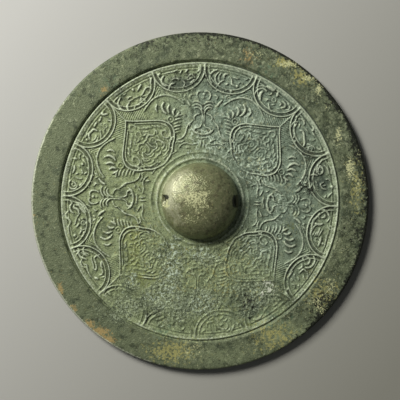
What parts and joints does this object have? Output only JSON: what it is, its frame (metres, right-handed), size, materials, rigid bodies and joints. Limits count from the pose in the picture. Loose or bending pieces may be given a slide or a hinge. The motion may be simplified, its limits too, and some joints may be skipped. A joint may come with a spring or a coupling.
{
  "type": "ancient bronze mirror",
  "caption": "Round cast-bronze mirror lying face down: plain raised rim, ring of lobes with curled beasts, heart-shaped leaves, facing birds, and a pierced round knob.",
  "frame": {"origin": "middle of the reflecting face, on the surface that the mirror lies on, face down", "axes": "+Z out of the decorated back along the knob's axis, +X along the cord hole, +Y towards the top of the picture"},
  "size_m": [0.18, 0.18, 0.0172],
  "materials": {
    "patinated_bronze": "old grey-green bronze patina with pale crusts, rough and partly corroded"
  },
  "bodies": {
    "root": {"bronze_mirror": "patinated_bronze"}
  },
  "joints": []
}
